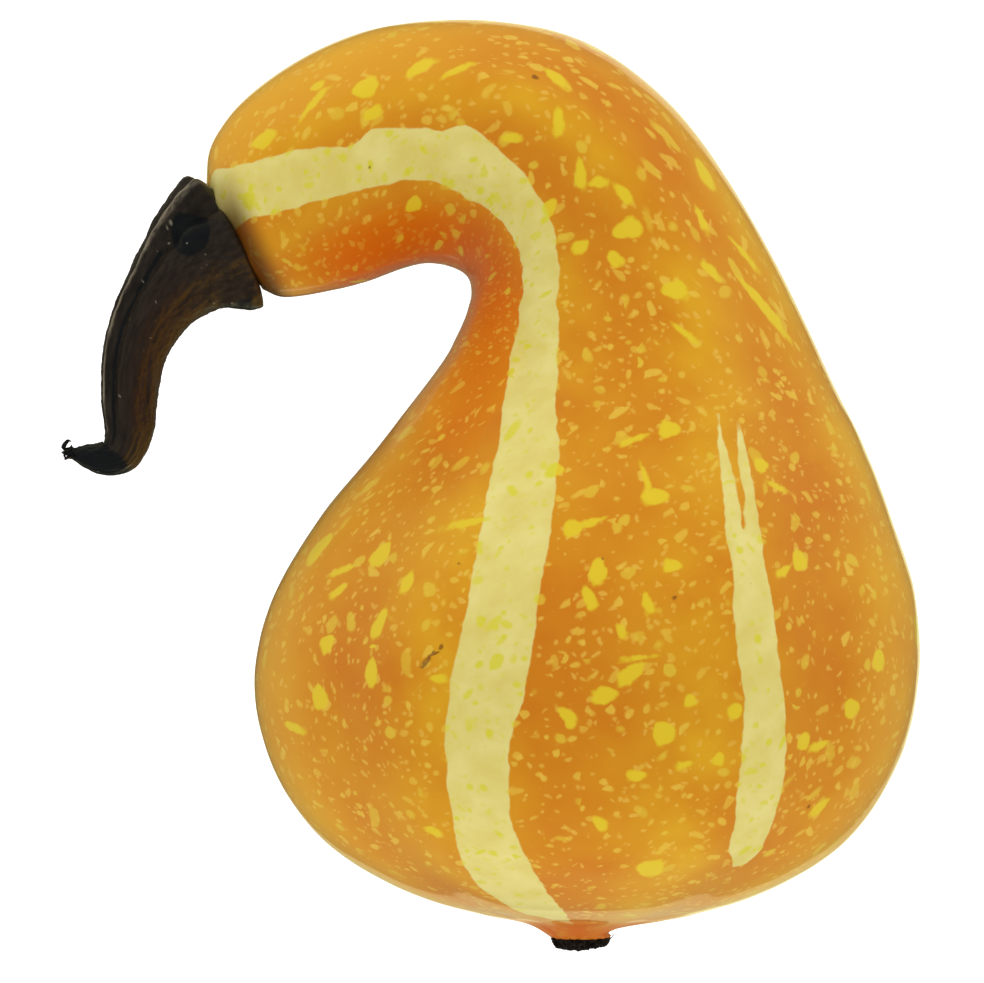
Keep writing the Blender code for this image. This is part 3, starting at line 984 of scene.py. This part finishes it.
# The soot mask also carries the painted shade in the grooves.
soot_and_shade_edge = add_node(tree, "ShaderNodeMath", {0: soot_and_shade_part, 1: 1.3, 2: blotch}, operation="MULTIPLY_ADD")
# The pale sharp ridge is wear with a painted sheen on it.
wear_and_sheen_edge = add_node(tree, "ShaderNodeMath", {0: wear_and_sheen_part, 1: grain}, operation="MULTIPLY")
soot_and_shade_on, wear_and_sheen_on = (
    add_node(
        tree,
        "ShaderNodeMapRange",
        {"Value": edge, 1: starts, 2: ends, 3: 0.0, 4: most},
        interpolation_type="SMOOTHSTEP",
    ).outputs["Result"]
    for edge, starts, ends, most in ((soot_and_shade_edge, 0.85, 1.2, 0.9), (wear_and_sheen_edge, 0.15, 0.55, 0.8))
)
# Painted glints: small pale specks painted as highlights, most of them near the edge of the knot.
painted_glint_share = add_node(tree, "ShaderNodeMapRange", {"Value": knot_rim, 3: 0.06, 4: 0.9}).outputs["Result"]
painted_glint = fleck_layer(tree, place, 1.5, 0.2, 2.2, painted_glint_share, 0.08)
skin = bark
for cover, code in ((ruddy_on, "#33190b"), (soot_and_shade_on, "#101518"), (wear_and_sheen_on, "#8a7e64"), (painted_glint, "#7b7461")):
    skin = add_node(tree, "ShaderNodeMix", {0: cover, 6: skin, 7: colour(code)}, data_type="RGBA").outputs[2]
tree.links.new(skin, shader.inputs["Base Color"])
rough = add_node(tree, "ShaderNodeMapRange", {"Value": soot_and_shade_on, 3: 0.55, 4: 0.3})
tree.links.new(rough.outputs["Result"], shader.inputs["Roughness"])
shader.inputs["Coat Weight"].default_value = 0.4
shader.inputs["Coat Roughness"].default_value = 0.15

stalk_sizes["Skin"] = stem_finish
stalk = grow("stem_stalk", stem_base, stalk_tree, stalk_sizes)
stem = lay_down("stem_stalk", stalk)
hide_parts("stem")

# A shred of the stalk that curls up from the torn tip.
SHRED_SLICES = (
    (-99.0, 95.6, 0.5, 60, 0.0),
    (-99.7, 96.5, 0.2, 10, 0.0),
    (-100.0, 97.2, 0.5, 10, 0.0),
    (-99.6, 98.0, 0.42, -35, 0.0),
    (-99.0, 98.5, 0.3, -60, 0.0),
    (-98.5, 98.3, 0.08, -100, 0.0),
)
shred_mesh, shred_grown = swept_skin("stem_shred", SHRED_SLICES, 24, 12)
paint(shred_mesh, "straight", shred_grown["straight"])
paint(shred_mesh, "soot_and_groove_shade", np.ones(len(shred_grown["along"])))
shred_mesh.materials.append(stem_finish)
shred_mesh.shade_smooth()
shred = lay_down("stem_shred", shred_mesh)

# ---------------------------------------------------------------------------------------------------------
# The blossom scar: the corky black disc that the flower left on the nub. It is dry and crumbles at its edge,
# where crumbs cling to it and one fine hair is left.

SCAR_SLICES = (
    (-0.8, -0.4, 1.2, 0, 0.0),
    (-0.7, -0.1, 2.6, 0, 0.0),
    (-0.3, 0.5, 4.2, 0, 0.0),
    (0.1, 1.3, 5.1, 0, 0.0),
    (0.2, 2.1, 5.4, 0, 0.0),
    (0.2, 2.5, 4.9, 0, 0.0),
)
scar_base, scar_grown = swept_skin("scar_base", SCAR_SLICES, 40, 150)
paint(scar_base, "rim", eased_step(scar_grown["radius"], 3.0, 4.8))

scar_sizes = {
    "Crumbling": 1.0,  # lengths are in mm
    "Grain": 0.9,
    "Crumbs per mm2": 2.2,
    "Crumb size": 0.5,
    "Seed": 3,
    "Skin": None,
}
scar_tree, scar_in, scar_out = new_tree("crumbling_cork", scar_sizes)
rim_part = add_node(scar_tree, "GeometryNodeInputNamedAttribute", {"Name": "rim"}, data_type="FLOAT")
density = add_node(
    scar_tree, "ShaderNodeMath", {0: rim_part, 1: scar_in.outputs["Crumbs per mm2"]}, operation="MULTIPLY"
)
spots = add_node(
    scar_tree,
    "GeometryNodeDistributePointsOnFaces",
    {"Mesh": scar_in.outputs["Geometry"], "Density": density, "Seed": scar_in.outputs["Seed"]},
)
crumb = add_node(scar_tree, "GeometryNodeMeshIcoSphere", {"Radius": 1.0, "Subdivisions": 2})
crumb_scale = add_node(
    scar_tree,
    "FunctionNodeRandomValue",
    {0: (0.3, 0.3, 0.3), 1: (1.0, 1.0, 1.0), "Seed": scar_in.outputs["Seed"]},
    data_type="FLOAT_VECTOR",
)
crumb_size = add_node(
    scar_tree,
    "ShaderNodeVectorMath",
    {0: crumb_scale, "Scale": scar_in.outputs["Crumb size"]},
    operation="SCALE",
)
crumb_turn = add_node(
    scar_tree,
    "FunctionNodeRandomValue",
    {0: (0.0, 0.0, 0.0), 1: (6.28, 6.28, 6.28), "Seed": scar_in.outputs["Seed"]},
    data_type="FLOAT_VECTOR",
)
crumbs = add_node(
    scar_tree,
    "GeometryNodeInstanceOnPoints",
    {"Points": spots, "Instance": crumb, "Rotation": crumb_turn, "Scale": crumb_size},
)
loose = add_node(scar_tree, "GeometryNodeRealizeInstances", {"Geometry": crumbs})
whole = add_node(scar_tree, "GeometryNodeJoinGeometry", {0: scar_in.outputs["Geometry"]})
scar_tree.links.new(loose.outputs[0], whole.inputs[0])
cork_scale = add_node(scar_tree, "ShaderNodeMath", {0: 1.0, 1: scar_in.outputs["Grain"]}, operation="DIVIDE")
cork = add_node(scar_tree, "ShaderNodeTexNoise", {"Scale": cork_scale, "Detail": 3.0, "Roughness": 0.7})
cork_even = add_node(
    scar_tree, "ShaderNodeVectorMath", {0: cork.outputs["Color"], 1: (0.5, 0.5, 0.5)}, operation="SUBTRACT"
)
cork_push = add_node(
    scar_tree,
    "ShaderNodeVectorMath",
    {0: cork_even, "Scale": scar_in.outputs["Crumbling"]},
    operation="SCALE",
)
crumbled = add_node(scar_tree, "GeometryNodeSetPosition", {"Geometry": whole, "Offset": cork_push})
real = add_node(scar_tree, "GeometryNodeRealizeInstances", {"Geometry": crumbled})
skinned = add_node(
    scar_tree, "GeometryNodeSetMaterial", {"Geometry": real, "Material": scar_in.outputs["Skin"]}
)
scar_tree.links.new(skinned.outputs[0], scar_out.inputs[0])

# Dry cork scar: nearly black, crumbled cork with a fine brown grain. No lacquer took on it, so the eye finds
# no highlight there.
scar_finish = bpy.data.materials.new("dry_cork_scar")
scar_finish.use_nodes = True
tree = scar_finish.node_tree
shader = tree.nodes["Principled BSDF"]
on_scar = add_node(tree, "ShaderNodeTexCoord").outputs["Object"]
cork_grain = add_node(
    tree, "ShaderNodeTexNoise", {"Vector": on_scar, "Scale": 1100.0, "Detail": 4.0, "Roughness": 0.7}
)
cork_tone = add_node(tree, "ShaderNodeValToRGB", {"Fac": cork_grain})
for element, (position, code) in zip(cork_tone.color_ramp.elements, ((0.4, "#0b0907"), (0.72, "#33291b"))):
    element.position = position
    element.color = colour(code)
tree.links.new(cork_tone.outputs["Color"], shader.inputs["Base Color"])
shader.inputs["Roughness"].default_value = 0.85
shader.inputs["Specular IOR Level"].default_value = 0.3

scar_sizes["Skin"] = scar_finish
cork_mesh = grow("scar_disc", scar_base, scar_tree, scar_sizes)
scar = lay_down("scar_disc", cork_mesh)
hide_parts("blossom_scar")

# The flake that curls up at the scar's edge, and the hair beside it.
FLAKE_SLICES = (
    (4.0, 0.9, 0.8, -90, 0.0),
    (4.9, 1.1, 0.8, -70, 0.0),
    (5.5, 1.9, 0.6, -25, 0.0),
    (5.5, 2.7, 0.4, 10, 0.0),
    (5.3, 3.1, 0.15, 40, 0.0),
)
HAIR_SLICES = (
    (4.6, 1.2, 0.13, -70, 0.0),
    (5.6, 1.5, 0.12, -65, 0.0),
    (6.3, 2.1, 0.1, -42, 0.0),
    (6.9, 2.9, 0.05, -36, 0.0),
)
for name, slices, around in (("scar_flake", FLAKE_SLICES, 16), ("scar_hair", HAIR_SLICES, 8)):
    scrap_mesh, _ = swept_skin(name, slices, 20, around)
    scrap_mesh.materials.append(scar_finish)
    scrap_mesh.shade_smooth()
    scrap = lay_down(name, scrap_mesh)

# ---------------------------------------------------------------------------------------------------------
# The studio: a white floor, a bright soft sky and a long lens that looks down along the gourd's front.

FLOOR_HALF = 4.0  # metres
FLOOR_GLOW = 1.05
BARE_GLOW = 0.12
# The lit pads under the gourd that its gloss shows at its rims: (x, z of the middle on the standing gourd,
# half breadth, half length, glow, share of the oval that its edge takes), in mm. Less comes up through the
# notch.
LIT_PADS = (
    (10.0, 52.0, 85.0, 82.0, 1.1, 0.05),
    (12.0, 5.0, 92.0, 100.0, 0.6, 0.05),
    (11.0, 112.0, 55.0, 52.0, 1.1, 0.05),
    (-6.0, 146.0, 52.0, 52.0, 1.1, 0.05),
    (-42.0, 150.0, 40.0, 38.0, 0.9, 0.05),
)
NOTCH = (-46.0, 98.0, 48.0, 62.0, 0.8, 0.35)
view_axes = lay @ np.array(((1.0, 0.0, 0.0), (0.0, 0.0, -1.0), (0.0, 1.0, 0.0)))
floor_mesh = bpy.data.meshes.new("floor")
corners = [(x * FLOOR_HALF, y * FLOOR_HALF, 0.0) for x, y in ((-1, -1), (1, -1), (1, 1), (-1, 1))]
floor_mesh.from_pydata(corners, [], [(0, 1, 2, 3)])
# Lit white acrylic: an even, pure white to the eye. In gloss it is dark with warm soft ovals under the gourd,
# so that the lacquer shows its light at the rims alone.
floor_finish = bpy.data.materials.new("lit_white_acrylic")
floor_finish.use_nodes = True
tree = floor_finish.node_tree
shader = tree.nodes["Principled BSDF"]
shader.inputs["Roughness"].default_value = 0.9
shader.inputs["Specular IOR Level"].default_value = 0.0
on_floor = add_node(tree, "ShaderNodeTexCoord").outputs["Object"]


def on_pad(x, z, half_breadth, half_length, glow, blur):
    """The pad's glow inside its oval on the floor, 0 outside it, where the camera sees that place."""
    over = np.array((x, 0.0, z)) @ lay.T * MM + rest_move
    spot = over - view_axes[:, 2] * (over[2] / view_axes[2, 2])
    off = add_node(tree, "ShaderNodeVectorMath", {0: on_floor, 1: spot.tolist()}, operation="SUBTRACT")
    half = (half_length * MM, half_breadth * MM, 1.0)
    share = add_node(tree, "ShaderNodeVectorMath", {0: off, 1: half}, operation="DIVIDE")
    reach = add_node(tree, "ShaderNodeVectorMath", {0: share}, operation="LENGTH")
    return add_node(
        tree,
        "ShaderNodeMapRange",
        {"Value": reach.outputs["Value"], 1: 1 + blur, 2: 1 - blur, 4: glow},
        interpolation_type="SMOOTHSTEP",
    ).outputs["Result"]


pad_glow = BARE_GLOW
for pad in LIT_PADS:
    pad_glow = add_node(tree, "ShaderNodeMath", {0: pad_glow, 1: on_pad(*pad)}, operation="MAXIMUM")
no_notch = add_node(tree, "ShaderNodeMath", {0: 1.0, 1: on_pad(*NOTCH)}, operation="SUBTRACT")
gloss_glow = add_node(tree, "ShaderNodeMath", {0: pad_glow, 1: no_notch}, operation="MULTIPLY")
in_gloss = add_node(tree, "ShaderNodeLightPath").outputs["Is Glossy Ray"]
shown = add_node(tree, "ShaderNodeMix", {0: in_gloss, 2: FLOOR_GLOW, 3: gloss_glow}, data_type="FLOAT")
tree.links.new(shown.outputs[0], shader.inputs["Emission Strength"])
for name, seen, in_mirror in (
    ("Base Color", "#b0b0b0", "#202020"),
    ("Emission Color", "#ffffff", "#f3f0b6"),
):
    tone = add_node(
        tree, "ShaderNodeMix", {0: in_gloss, 6: colour(seen), 7: colour(in_mirror)}, data_type="RGBA"
    )
    tree.links.new(tone.outputs[2], shader.inputs[name])
floor_mesh.materials.append(floor_finish)
floor = bpy.data.objects.new("floor", floor_mesh)
bpy.context.scene.collection.objects.link(floor)

SKY_GLOW = 0.8
GLOSS_SKY_GLOW = 0.03
world = bpy.data.worlds.new("soft_sky")
bpy.context.scene.world = world
world.use_nodes = True
sky = world.node_tree
backing = sky.nodes["Background"]
in_gloss = add_node(sky, "ShaderNodeLightPath").outputs["Is Glossy Ray"]
glow = add_node(sky, "ShaderNodeMapRange", {"Value": in_gloss, 3: SKY_GLOW, 4: GLOSS_SKY_GLOW})
backing.inputs["Color"].default_value = colour("#ffffff")
sky.links.new(glow.outputs["Result"], backing.inputs["Strength"])

# Two large soft panels, one above the neck's end and one low beyond the nub. They light the skin without
# showing in its gloss.
GOURD_MIDDLE = (0.0, 0.0, 0.06)


def soft_panel(name, stands, size, power):
    """A square panel of light that faces the gourd's middle from as far off as stands, in metres."""
    light = bpy.data.lights.new(name, "AREA")
    light.energy = power
    light.size = size
    panel = bpy.data.objects.new(name, light)
    bpy.context.scene.collection.objects.link(panel)
    facing = Vector(stands).to_track_quat("Z", "Y").to_matrix().to_4x4()
    panel.matrix_world = Matrix.Translation(Vector(stands) + Vector(GOURD_MIDDLE)) @ facing
    panel.visible_camera = False
    panel.visible_glossy = False


soft_panel("top_panel", (-0.9, 0.1, 0.8), 1.0, 3.0)
soft_panel("low_panel", (0.9, 0.0, 0.3), 0.8, 4.0)

VIEW_DISTANCE = 1.4  # metres from the lens to the middle of the gourd
VIEW_WIDTH = 0.1909  # metres across the view there
VIEW_CENTRE = (-16.9, 0.0, 88.6)  # mm, on the standing gourd
view_point = np.array(VIEW_CENTRE) @ lay.T * MM + rest_move
lens = bpy.data.cameras.new("view")
lens.sensor_width = 36.0
lens.lens = lens.sensor_width * VIEW_DISTANCE / VIEW_WIDTH
camera = bpy.data.objects.new("view", lens)
bpy.context.scene.collection.objects.link(camera)
stands_at = view_point + view_axes[:, 2] * VIEW_DISTANCE
camera.matrix_world = Matrix.Translation(stands_at) @ Matrix(view_axes).to_4x4()
bpy.context.scene.camera = camera
bpy.context.scene.view_settings.view_transform = "Standard"
